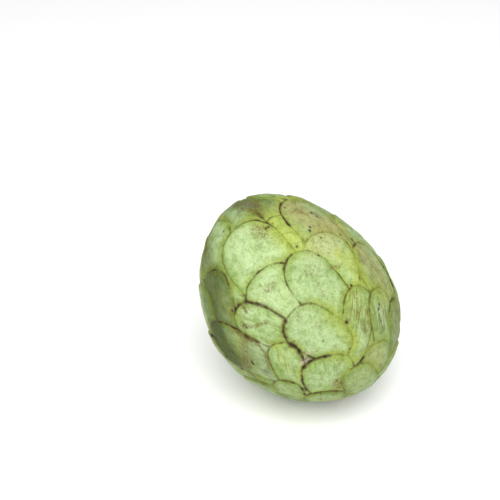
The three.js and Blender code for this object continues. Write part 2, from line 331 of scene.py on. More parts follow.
# Dark stretches of the creases, from the top of the fruit down
CREASES = (
    (0.4, 0.7, (260, 210), (266, 215), (272, 219)),
    (0.45, 0.85, (288, 198), (282, 204), (282, 210), (283, 217), (288, 223)),
    (0.4, 0.8, (229, 203), (224, 209)),
    (0.4, 0.5, (222, 268), (222, 252), (224, 241), (230, 232), (237, 225)),
    (0.4, 0.6, (237, 225), (249, 220), (258, 220)),
    (0.55, 0.85, (258, 220), (265, 223), (271, 229)),
    (0.4, 0.75, (206, 274), (212, 270), (219, 272), (226, 283)),
    (0.35, 0.5, (246, 293), (246, 285), (249, 277), (255, 271)),
    (0.5, 0.8, (256, 270), (263, 266)),
    (0.35, 0.5, (263, 266), (270, 263), (280, 261)),
    (0.6, 0.85, (288, 256), (285, 261), (284, 268)),
    (0.4, 0.6, (284, 268), (285, 273), (287, 280), (291, 287)),
    (0.3, 0.3, (288, 256), (292, 252)),
    (0.3, 0.35, (309, 253), (320, 259), (333, 270)),
    (0.35, 0.65, (336, 272), (345, 278), (351, 286)),
    (0.35, 0.3, (306, 237), (312, 233), (322, 231), (331, 232), (340, 236)),
    (0.5, 0.75, (351, 244), (356, 242), (362, 244), (368, 247)),
    (0.6, 0.95, (369, 247), (376, 255), (382, 264), (388, 274), (394, 287)),
    (0.35, 0.6, (351, 286), (346, 293), (344, 302), (345, 310)),
    (0.4, 0.5, (370, 289), (368, 298), (367, 308), (368, 319), (371, 329), (373, 338)),
    (0.45, 0.8, (392, 310), (392, 305), (396, 301)),
    (0.95, 0.9, (233, 309), (236, 303), (240, 299), (247, 298), (253, 300), (261, 305)),
    (0.8, 0.8, (261, 305), (266, 311), (274, 317), (282, 322)),
    (1.05, 1, (282, 322), (285, 330), (290, 341), (294, 347), (296, 352)),
    (0.75, 0.9, (296, 352), (300, 360), (302, 366)),
    (0.6, 0.8, (302, 366), (300, 372), (302, 379), (304, 388), (305, 394)),
    (0.4, 0.5, (286, 316), (290, 310)),
    (0.4, 0.5, (303, 304), (312, 305)),
    (0.35, 0.3, (313, 305), (322, 310), (330, 317), (337, 324)),
    (0.8, 0.9, (213, 337), (211, 330), (211, 324)),
    (0.45, 0.75, (213, 322), (221, 321), (228, 325), (233, 329)),
    (1.2, 0.7, (235, 331), (239, 335), (246, 339), (254, 342)),
    (0.5, 0.55, (254, 342), (261, 345), (266, 351), (268, 359), (269, 368)),
    (0.5, 0.6, (269, 368), (272, 376), (275, 383)),
    (0.4, 0.55, (269, 349), (272, 346), (278, 343), (287, 342)),
    (0.7, 0.85, (302, 366), (307, 360), (316, 357), (327, 355)),
    (0.4, 0.3, (330, 355), (337, 355), (347, 358)),
    (0.3, 0.3, (361, 357), (363, 351), (368, 345), (375, 341), (383, 341)),
    (0.5, 0.75, (359, 361), (362, 360)),
    (0.4, 0.5, (360, 362), (353, 365), (346, 372), (342, 380), (345, 390)),
    (0.45, 0.65, (305, 394), (315, 392), (325, 390), (334, 393), (347, 397)),
    (0.4, 0.6, (274, 385), (277, 382), (284, 381), (291, 383), (298, 389)),
    (0.6, 0.8, (298, 389), (304, 394)),
)

# Small black and brown spots and scratches
SPOTS = (
    (0.45, 0.9, (297.5, 246.5)),
    (0.35, 0.6, (321, 238)),
    (0.45, 0.7, (318, 255)),
    (0.35, 0.7, (340, 235)),
    (0.5, 0.9, (359, 278)),
    (0.55, 0.95, (351.5, 286)),
    (0.4, 0.7, (285, 208)),
    (0.4, 0.85, (310, 227)),
    (0.5, 0.95, (309.5, 230.5)),
    (0.45, 0.75, (311.5, 212.5)),
    (0.35, 0.65, (316.5, 216)),
    (0.1, 0.4, (315, 204), (322, 212)),
    (0.5, 0.9, (232.5, 311)),
    (0.6, 0.95, (346.5, 321.5)),
    (0.45, 0.8, (350, 349)),
    (0.35, 0.6, (323.5, 341)),
    (0.45, 0.9, (379, 304)),
    (0.4, 0.85, (379, 308.5)),
    (0.1, 0.6, (379, 315), (380, 319), (381, 323)),
    (0.1, 0.5, (382, 325), (384, 331)),
    (0.5, 0.9, (226, 355), (227, 357)),
    (0.6, 0.95, (242.5, 369)),
    (0.4, 0.85, (251.5, 361), (253, 364)),
    (0.3, 0.75, (265.5, 229), (269, 226.5)),
    (0.3, 0.7, (223.5, 231.5)),
    (0.3, 0.6, (244, 308)),
    (0.15, 0.5, (246, 311), (247, 313)),
    (0.35, 0.8, (243.5, 325)),
    (0.3, 0.8, (246.5, 327)),
    (0.3, 0.5, (262, 338.5)),
    (0.1, 0.5, (225, 216), (230, 222)),
    (0.3, 0.5, (320, 393), (321, 400)),
    (0.5, 0.7, (345, 393)),
)

# Brown stains
STAINS = (
    (1, 0.7, (242, 307), (246, 311)),
    (1.5, 0.75, (236, 330), (245, 336), (257, 342)),
    (2.8, 0.6, (257, 230), (262, 233)),
    (1.4, 0.75, (261, 228), (266, 229)),
    (1.5, 0.3, (260, 245)),
    (1.1, 0.75, (267, 291), (268, 290)),
    (1.4, 0.4, (268, 288), (273, 284)),
    (0.9, 0.6, (248, 327), (258, 325), (267, 323)),
    (1.3, 0.7, (243, 326), (248, 326)),
    (2.8, 0.28, (308, 270), (316, 271)),
    (1.8, 0.3, (319, 286), (323, 292)),
    (0.9, 0.7, (331, 268), (339, 267)),
    (1.8, 0.7, (295, 210), (301, 212)),
    (1.4, 0.4, (319, 227)),
    (1.2, 0.45, (293, 203), (302, 201), (312, 203)),
    (1.6, 0.45, (361, 256), (363, 260)),
    (1.6, 0.35, (376, 269)),
    (1.4, 0.5, (372, 252), (380, 262)),
    (0.8, 0.5, (353, 292), (357, 305), (359, 318)),
    (1.1, 0.6, (362, 322), (365, 331)),
    (1, 0.6, (367, 311), (371, 329)),
    (1.2, 0.5, (384, 313), (387, 319)),
    (1.8, 0.5, (381, 365)),
    (1.2, 0.5, (299, 317)),
    (1.8, 0.25, (318, 324)),
    (1.6, 0.6, (346, 322)),
    (2.8, 0.7, (331, 376), (338, 384)),
    (1.3, 1, (331, 376), (336, 381)),
    (0.7, 0.9, (338, 375), (333, 383)),
    (1.6, 0.5, (337, 373), (342, 379), (343, 387)),
    (0.7, 0.45, (306, 387), (314, 382), (322, 379)),
    (1.5, 0.7, (245, 342), (246, 352), (245, 359), (248, 366)),
    (0.55, 0.8, (255, 341), (260, 346), (264, 352), (267, 360), (269, 369)),
    (0.8, 0.7, (247, 368), (254, 376), (263, 383)),
    (1.9, 0.75, (236, 205), (246, 203), (258, 207)),
    (1.2, 0.75, (240, 209), (252, 210), (262, 216)),
    (0.9, 0.6, (240, 199), (250, 198), (259, 201)),
    (1, 0.7, (255, 195), (264, 194), (274, 196)),
    (1.8, 0.5, (219, 219), (216, 224), (212, 227)),
    (3, 0.35, (205, 243), (207, 256)),
    (1, 0.4, (287, 381), (290, 383)),
)

# Pale scabs
PALE_SCABS = (
    (1.1, 0.9, (303, 362), (306, 359)),
    (0.7, 0.7, (307, 354), (309, 352)),
    (1.3, 0.7, (218, 218), (214, 224)),
    (0.7, 0.6, (240, 380), (247, 384)),
)

# Grey scabs
GREY_SCABS = (
    (0.9, 0.8, (309, 356), (306, 361)),
    (1, 0.9, (265, 371), (268, 373)),
    (1, 0.7, (240, 212)),
    (1.2, 0.7, (246, 204), (256, 207)),
    (1.2, 0.7, (313, 213), (319, 217)),
)

# Yellow-green flushes; the wide faint ones along the outline are partly painted shade
YELLOW_FLUSHES_AND_LIMB_SHADE = (
    (6, 0.7, (258, 214), (270, 221), (282, 233), (293, 243)),
    (3.6, 0.7, (342, 256), (351, 266), (362, 281)),
    (3.5, 0.6, (352, 250), (356, 266), (366, 281), (384, 298)),
    (3.5, 0.6, (330, 314), (342, 326), (352, 342)),
    (3, 0.6, (228, 309), (233, 316)),
    (4, 0.6, (287, 200), (300, 199), (318, 206)),
    (3, 0.4, (331, 356), (345, 360), (356, 362)),
    (1.7, 0.45, (277, 346), (283, 358), (288, 370)),
    (1.6, 0.35, (291, 349), (285, 361)),
    # The next six lie along the outline: partly the skin's own yellow-green, partly painted shade that
    # makes the limbs a richer, less grey green
    (7, 0.3, (352, 388), (362, 376), (372, 364)),
    (6, 0.4, (396, 305), (398, 325), (396, 345)),
    (6, 0.35, (290, 394), (315, 400), (345, 399)),
    (9, 0.45, (213, 335), (226, 350), (240, 364)),
    (6, 0.4, (212, 285), (216, 305)),
    (5, 0.4, (207, 232), (203, 250), (202, 264)),
    (5, 0.45, (354, 295), (355, 315)),
    (1.5, 0.5, (230, 325), (236, 336), (247, 345)),
    (1.8, 0.7, (239, 341), (240, 352)),
)

# Beige flushes on the upper right and the right limb: partly the skin's own beige, partly a painted sheen
BEIGE_AND_SHEEN_FLUSHES = (
    (7, 0.8, (293, 208), (305, 216), (322, 224), (338, 230)),
    (6, 0.45, (315, 243), (332, 247)),
    (6, 0.6, (360, 250), (372, 266), (386, 288)),
    (5, 0.35, (372, 350), (384, 356)),
    (4, 0.4, (397, 310), (397, 325)),
)

# Places where the wax is thickest
WAXY_PLACES = (
    (3, 0.9, (240, 366), (248, 374)),
    (2.6, 0.7, (262, 370), (270, 378)),
    (7, 0.7, (272, 295), (287, 304)),
    (8, 0.35, (244, 242), (256, 262)),
    (6, 0.4, (314, 246), (330, 248)),
    (6, 0.3, (308, 318), (318, 322)),
    (3, 0.5, (254, 347), (260, 355), (263, 364)),
    (1.6, 0.9, (261, 342), (267, 349)),
    (1.5, 0.6, (267, 377), (271, 381)),
)

# Finely streaked scales
STREAKED_PLACES = (
    (7, 0.5, (246, 310), (262, 326), (278, 338)),
    (6, 0.5, (280, 350), (284, 370)),
    (5, 0.9, (356, 300), (360, 325)),
    (5, 0.9, (376, 300), (382, 325)),
    (6, 0.55, (214, 280), (222, 300)),
    (7, 0.45, (236, 345), (247, 360), (262, 378)),
    (6, 0.5, (362, 255), (376, 275)),
    (6, 0.5, (318, 368), (330, 372)),
)

# Deeper green at the left, the top and the bottom of the outline: partly the skin's own deeper green,
# partly painted shade
DEEP_GREEN_AND_SHADE_PLACES = (
    (8, 0.6, (212, 279), (210, 298), (212, 312)),
    (7.5, 0.85, (216, 331), (221, 344), (232, 358)),
    (1.8, 0.45, (248, 374), (253, 379)),
    (5, 0.3, (252, 380), (262, 386)),
    (6, 0.5, (205, 240), (205, 255), (207, 268)),
    (5, 0.5, (240, 202), (258, 208), (262, 202)),
    (4, 0.35, (285, 396), (310, 402), (340, 401)),
    (5, 0.4, (370, 385), (385, 372), (394, 355)),
)

STROKES = tuple(
    Stroke(mark, width, strength, path)
    for mark, rows in (
        (Mark.CREASE, CREASES), (Mark.SPOT, SPOTS), (Mark.STAIN, STAINS), (Mark.PALE, PALE_SCABS),
        (Mark.GREY, GREY_SCABS), (Mark.YELLOW, YELLOW_FLUSHES_AND_LIMB_SHADE), (Mark.WARM, BEIGE_AND_SHEEN_FLUSHES),
        (Mark.BLOOM, WAXY_PLACES), (Mark.STREAK, STREAKED_PLACES), (Mark.DEEP, DEEP_GREEN_AND_SHADE_PLACES),
    )
    for width, strength, *path in rows
)


@dataclass(frozen=True)
class FruitBody:
    """The smooth body under the scales, in the fruit's own frame: +Z runs to its narrower end."""

    half_length: float = 53
    half_width: float = 42.5
    taper: float = 0.09
    lopsided: Range = (-0.085, -0.12)
    swells: tuple[Swell, ...] = (
        Swell(-12, -126, 2.5, 32), Swell(-2, 49, 1.8, 32), Swell(-52, 186, 6.5, 26),
        Swell(-45, -5, 1.2, 30),
    )
    lean: float = 21.5
    turn: float = -42
    blossom_lat: float = 74
    blossom_lon: float = 130

    def points(self, ways: Array) -> Array:
        """Points of the body in the ball's directions."""
        girth = self.half_width * (1 - self.taper * ways[..., 2])
        rise = self.half_length * ways[..., 2]
        points = np.stack([
            girth * ways[..., 0] + self.lopsided[0] * rise,
            girth * ways[..., 1] + self.lopsided[1] * rise,
            rise,
        ], axis=-1)
        for swell in self.swells:
            width = 1 - math.cos(math.radians(swell.spread))
            size = swell.height * np.exp((ways @ direction(swell.lat, swell.lon) - 1) / width)
            points += ways * size[..., None]
        return points

    @property
    def blossom(self) -> Array:
        """Direction of the blossom end, where the scales meet."""
        return direction(self.blossom_lat, self.blossom_lon)

    @property
    def stand(self) -> Array:
        """Turning matrix from the fruit's own frame to the way it stands."""
        return np.array(Matrix.Rotation(math.radians(self.turn), 3, "Z")
                        @ Matrix.Rotation(math.radians(-self.lean), 3, "Y"))

    @property
    def stem_foot(self) -> Array:
        """Where the line of the stem crosses the plane of the fruit's waist."""
        return -self.half_length * np.array(self.lopsided)


@dataclass
class PlacedScale:
    """A scale laid on the body, with its two directions there."""

    form: ScaleForm
    middle: Array
    tipward: Array
    sideways: Array


@dataclass
class Reading:
    """What the scales say at each point of the skin, one number a point.

    height is over the smooth body. crease is the distance to the nearest crease and arch the scale
    whose rim that is. owner is the scale on top, or -1 where none covers the body, and home is the
    owner or else the nearest scale. across and along are mm from the middle of that scale.
    """

    height: Array
    crease: Array
    arch: Array
    owner: Array
    home: Array
    across: Array
    along: Array
    tone: Array


@dataclass(frozen=True)
class ScaleCoat:
    """The scales: those of the front as they lie, and the others on a spiral that is evened out."""

    body: FruitBody
    front: tuple[ScaleForm, ...] = FRONT_SCALES
    spiral_scales: int = 58
    spiral_turn: float = 2.399963
    clear_of_front: float = 0.4
    push_rounds: int = 60
    push_reach: float = 0.75
    push_step: float = 0.15
    other_half_width: float = 12.8
    other_tip: float = 12.3
    other_tail: float = 1.9
    other_lean: float = 24
    other_tone: Range = (0.88, 1)
    end_size: float = 0.72
    middle_growth: float = 0.33
    size_variety: float = 0.2
    tip_power: float = 2.2
    tail_power: float = 2.6
    rim_height: float = 0.36
    rim_softness: float = 0.3
    dish_depth: float = 0.4
    tip_rise: float = 0.22
    tail_fall: float = -0.6
    reach: float = 42
    no_crease: float = 9

    def place(self, form: ScaleForm, way: Array) -> PlacedScale:
        """Lays one scale on the body.

        Args:
            form: The scale's sizes.
            way: Direction of its middle on the ball.

        Returns:
            The scale with its middle and its two directions in the fruit's own frame.
        """
        step = 1e-4
        north = unit(self.body.blossom - way * (self.body.blossom @ way))
        east = np.cross(north, way)
        turn = math.radians(form.lean)
        along = north * math.cos(turn) + east * math.sin(turn)
        across = np.cross(along, way)
        middle = self.body.points(way)
        tipward = unit(self.body.points(unit(way + step * along)) - middle)
        sideways = self.body.points(unit(way + step * across)) - middle
        return PlacedScale(form, middle, tipward, unit(sideways - tipward * (sideways @ tipward)))

    def spiral(self, front: Array) -> Array:
        """Directions of the other scales, pushed apart and off those of the front."""
        axis = self.body.blossom
        first = unit(np.cross(axis, [1.0, 0, 0]))
        second = np.cross(axis, first)
        free = []
        for k in range(self.spiral_scales):
            height = 1 - 2 * (k + 0.5) / self.spiral_scales
            ring = math.sqrt(1 - height * height)
            turn = k * self.spiral_turn
            way = axis * height + first * math.cos(turn) * ring + second * math.sin(turn) * ring
            if np.linalg.norm(front - way, axis=1).min() > self.clear_of_front:
                free.append(way)
        free = np.array(free)
        for _ in range(self.push_rounds):
            away = free[:, None] - np.vstack([front, free])[None]
            distance = np.linalg.norm(away, axis=2)
            near = (distance > TINY) & (distance < self.push_reach)
            force = np.where(near, (self.push_reach - distance) ** 2 / (distance + TINY), 0)
            free = unit(free + self.push_step * (away * force[..., None]).sum(axis=1))
        return free

    def scales(self) -> list[PlacedScale]:
        """All scales, from the lowest layer to the highest."""
        front = np.array([direction(form.lat, form.lon) for form in self.front])
        placed = [self.place(form, way) for form, way in zip(self.front, front)]
        for index, way in enumerate(self.spiral(front)):
            from_blossom = math.acos(way @ self.body.blossom)
            size = self.end_size + self.middle_growth * math.sin(from_blossom)
            wide, high = (1 + self.size_variety * (variety(index, use) - 0.5) for use in (1, 2))
            form = ScaleForm(
                0, 0, self.other_half_width * size * wide, self.other_tip * size * high,
                self.other_lean * (variety(index, 3) - 0.5), math.degrees(from_blossom), self.other_tail,
                np.interp(variety(index, 6), (0, 1), self.other_tone),
            )
            placed.append(self.place(form, way))
        return sorted(placed, key=lambda scale: scale.form.layer)

    def read(self, points: Array, scales: list[PlacedScale]) -> Reading:
        """Reads the scales at points of the smooth body.

        Args:
            points: Points of the smooth body.
            scales: All scales in the order of their layers.

        Returns:
            The reading at each point.
        """
        count = len(points)
        made = Reading(
            np.zeros(count), np.full(count, float(self.no_crease)), np.full(count, -1), np.full(count, -1),
            np.full(count, -1), np.zeros(count), np.zeros(count), np.ones(count),
        )
        least_bare = np.full(count, -np.inf)
        for index, scale in enumerate(scales):
            offset = points - scale.middle
            chord = np.linalg.norm(offset, axis=1)
            near = np.flatnonzero(chord < self.reach)
            offset, chord = offset[near], chord[near]
            side, along = offset @ scale.sideways, offset @ scale.tipward
            flat = np.hypot(side, along) + TINY
            across, along = side / flat * chord, along / flat * chord
            form = scale.form
            towards = along > 0
            reach = np.where(towards, form.tip, form.tip * form.tail)
            power = np.where(towards, self.tip_power, self.tail_power)
            level = np.abs(across / form.half_width) ** power + np.abs(along / reach) ** power
            level = level ** (1 / power) + TINY
            inside = chord / level - chord
            cover = smoothstep(inside, -self.rim_softness, self.rim_softness)
            dish = self.dish_depth * (1 - np.minimum(level, 1) ** 2)
            own = self.rim_height - dish + self.tip_rise * np.clip(along / form.tip, self.tail_fall, 1)
            made.height[near] += (own - made.height[near]) * cover
            over = inside > 0
            closer = over | (-inside < made.crease[near])
            made.crease[near[closer]] = np.abs(inside[closer])
            made.arch[near[closer]] = index
            made.owner[near[over]] = index
            at_home = over | ((made.owner[near] < 0) & (inside > least_bare[near]))
            least_bare[near] = np.maximum(least_bare[near], inside)
            at = near[at_home]
            made.home[at] = index
            made.across[at], made.along[at] = across[at_home], along[at_home]
            made.tone[at] = form.tone
        return made


@dataclass(frozen=True)
class BallMesh:
    """A ball of even triangles whose edges are led along the creases of the scales."""

    coat: ScaleCoat
    steps: int = 99
    crease_rounds: int = 3
    halvings: int = 10

    def ball(self) -> tuple[Array, Array]:
        """Directions of the corners of a finely split icosahedron, and its triangles."""
        golden = (1 + math.sqrt(5)) / 2
        tips = unit(np.array([
            (-1, golden, 0), (1, golden, 0), (-1, -golden, 0), (1, -golden, 0),
            (0, -1, golden), (0, 1, golden), (0, -1, -golden), (0, 1, -golden),
            (golden, 0, -1), (golden, 0, 1), (-golden, 0, -1), (-golden, 0, 1),
        ]))
        faces = (
            (0, 11, 5), (0, 5, 1), (0, 1, 7), (0, 7, 10), (0, 10, 11), (1, 5, 9), (5, 11, 4), (11, 10, 2),
            (10, 7, 6), (7, 1, 8), (3, 9, 4), (3, 4, 2), (3, 2, 6), (3, 6, 8), (3, 8, 9), (4, 9, 5),
            (2, 4, 11), (6, 2, 10), (8, 6, 7), (9, 8, 1),
        )
        n = self.steps
        rows = [(i, j) for i in range(n + 1) for j in range(n + 1 - i)]
        place = {pair: index for index, pair in enumerate(rows)}
        shares = np.array([((n - i - j) / n, i / n, j / n) for i, j in rows])
        cells = [(place[i, j], place[i + 1, j], place[i, j + 1]) for i, j in rows if i + j < n]
        cells += [(place[i + 1, j], place[i + 1, j + 1], place[i, j + 1]) for i, j in rows if i + j < n - 1]
        cells = np.array(cells)
        corners = np.vstack([shares @ tips[list(face)] for face in faces])
        triangles = np.vstack([cells + k * len(rows) for k in range(len(faces))])
        decimals = 7
        _, first, merged = np.unique(
            corners.round(decimals), axis=0, return_index=True, return_inverse=True)
        return unit(corners[first]), merged.reshape(-1)[triangles]

    def owners(self, ways: Array, scales: list[PlacedScale]) -> Array:
        """Which scale is on top in each direction."""
        return self.coat.read(self.coat.body.points(ways), scales).owner

    def led(self, scales: list[PlacedScale]) -> tuple[Array, Array]:
        """The ball with the corners nearest to a crease moved onto it.

        Args:
            scales: All scales in the order of their layers.

        Returns:
            Directions of the corners, and the triangles.
        """
        ways, triangles = self.ball()
        sides = np.vstack([triangles[:, [0, 1]], triangles[:, [1, 2]], triangles[:, [2, 0]]])
        sides = sides[sides[:, 0] < sides[:, 1]]
        settled = np.zeros(len(ways), bool)
        for _ in range(self.crease_rounds):
            owners = self.owners(ways, scales)
            crossed = (owners[sides[:, 0]] != owners[sides[:, 1]]) & ~settled[sides].any(axis=1)
            first, second = sides[crossed].T
            low, high = np.zeros(len(first)), np.ones(len(first))
            for _ in range(self.halvings):
                middle = (low + high) / 2
                probe = unit(ways[first] + (ways[second] - ways[first]) * middle[:, None])
                same = self.owners(probe, scales) == owners[first]
                low, high = np.where(same, middle, low), np.where(same, high, middle)
            share = (low + high) / 2
            goal = unit(ways[first] + (ways[second] - ways[first]) * share[:, None])
            moved = np.minimum(share, 1 - share)
            end = np.where(share < 0.5, first, second)
            order = np.argsort(-moved, kind="stable")
            ways[end[order]] = goal[order]
            settled[end] = True
            around = np.zeros_like(ways)
            np.add.at(around, sides[:, 0], ways[sides[:, 1]])
            np.add.at(around, sides[:, 1], ways[sides[:, 0]])
            ways = np.where(settled[:, None], ways, unit(around))
        return ways, triangles


@dataclass(frozen=True)
class PhotoView:
    """The photograph's camera: a long lens that looks down on the fruit, a little off its middle."""

    lens: float = 85
    sensor: float = 36
    frame_pixels: int = 500
    elevation: float = 35
    distance: float = 554
    aside: float = -22.07
    above: float = 21.83

    @property
    def axes(self) -> tuple[Array, Array, Array]:
        """The camera's right, up and back directions."""
        tilt = math.radians(self.elevation)
        back = np.array([0, -math.cos(tilt), math.sin(tilt)])
        up = np.array([0, math.sin(tilt), math.cos(tilt)])
        return np.array([1.0, 0, 0]), up, back

    def place(self, centre: Array) -> Array:
        """Where the camera stands, in mm, for a fruit whose body is centred there."""
        right, up, back = self.axes
        return centre + back * self.distance + right * self.aside + up * self.above

    def pixels(self, points: Array, centre: Array) -> Array:
        """Where points in mm are seen in the photograph, right and down, in its pixels."""
        right, up, back = self.axes
        offset = points - self.place(centre)
        scale = self.lens / self.sensor * self.frame_pixels / -(offset @ back)
        middle = self.frame_pixels / 2
        return np.stack([middle + offset @ right * scale, middle - offset @ up * scale], axis=-1)

    def shoot(self, centre: Array) -> None:
        """Makes the camera and sets it as the scene's."""
        data = bpy.data.cameras.new("photo_camera")
        data.lens, data.sensor_width = self.lens, self.sensor
        camera = add_object("photo_camera", data)
        camera.location = Vector(self.place(centre) * MM)
        camera.rotation_euler = (math.radians(90 - self.elevation), 0, 0)
        bpy.context.scene.camera = camera


@dataclass(frozen=True)
class SkinPaint:
    """The broad colours of the skin, worked out at the corners of its mesh.

    The green is palest where the wax lies, turns olive on a scale just beside the rim that covers it,
    and drifts in soft clouds. The deeper green is partly painted shade, and the beige partly a painted
    sheen. Widths are in mm.
    """

    leaf: str = "#849D54"
    wax: str = "#A6BC88"
    # Dark olive of the deeper green, which is partly painted shade
    deep: str = "#3C4A0C"
    yellow: str = "#9FAA4B"
    # Beige that is partly a painted sheen
    warm: str = "#A39C62"
    pale: str = "#C4ABA0"
    cork: str = "#6B5235"
    bloom: str = "#B3C694"
    wax_edge: Range = (0.3, 4.5)
    wax_clouds: Range = (-1.9, 0.6)
    clouds: tuple[Range, ...] = ((15, 0.6), (6, 0.5), (2.4, 0.35))
    halo_width: float = 3.8
    halo_share: float = 0.62
    halo_on_top: float = 0.25
    halo_drift: float = 13
    halo_evenness: Range = (0.35, 1)
    flush_evenness: Range = (0.75, 1)
    seed: int = 21

    def colours(self, points: Array, skin: Reading, marks: dict[str, Array]) -> Array:
        """Lays the colours over each other.

        Args:
            points: Points of the skin as it stands.
            skin: The reading of the scales.
            marks: Shares of the marks, by the name of the mark.

        Returns:
            The colour at each point in linear light.
        """
        drift = layered_ripple(points, self.clouds, self.seed)
        covered = np.where(skin.owner == skin.arch, self.halo_on_top, 1)
        halo = covered * self.halo_share * fade(skin.crease, 0, self.halo_width)
        halo_clouds = smoothstep(ripple(points, self.halo_drift, self.seed + 7), -0.7, 0.7)
        halo *= np.interp(halo_clouds, (0, 1), self.halo_evenness)
        unevenly = np.interp(smoothstep(drift, -0.8, 0.8), (0, 1), self.flush_evenness)
        layers = (
            (self.wax, smoothstep(skin.crease, *self.wax_edge) * smoothstep(drift, *self.wax_clouds)),
            (self.yellow, halo * (1 - marks[Mark.BLOOM.value])),
            (self.bloom, marks[Mark.BLOOM.value] * unevenly),
            # The beige layer holds a painted sheen as well as the skin's own beige
            (self.warm, marks[Mark.WARM.value] * unevenly),
            (self.yellow, marks[Mark.YELLOW.value] * unevenly),
            # The deep layer holds painted shade as well as the skin's own deeper green
            (self.deep, marks[Mark.DEEP.value]),
            (self.pale, marks[Mark.PALE.value]),
            (self.cork, marks[Mark.CORK.value]),
        )
        colour = np.tile(linear(self.leaf), (len(points), 1))
        for hue, share in layers:
            colour += (np.array(linear(hue)) - colour) * share[:, None]
        # Each scale's lightness, with painted shade on the darker scales near the outline
        colour[:, :3] *= skin.tone[:, None]
        return colour


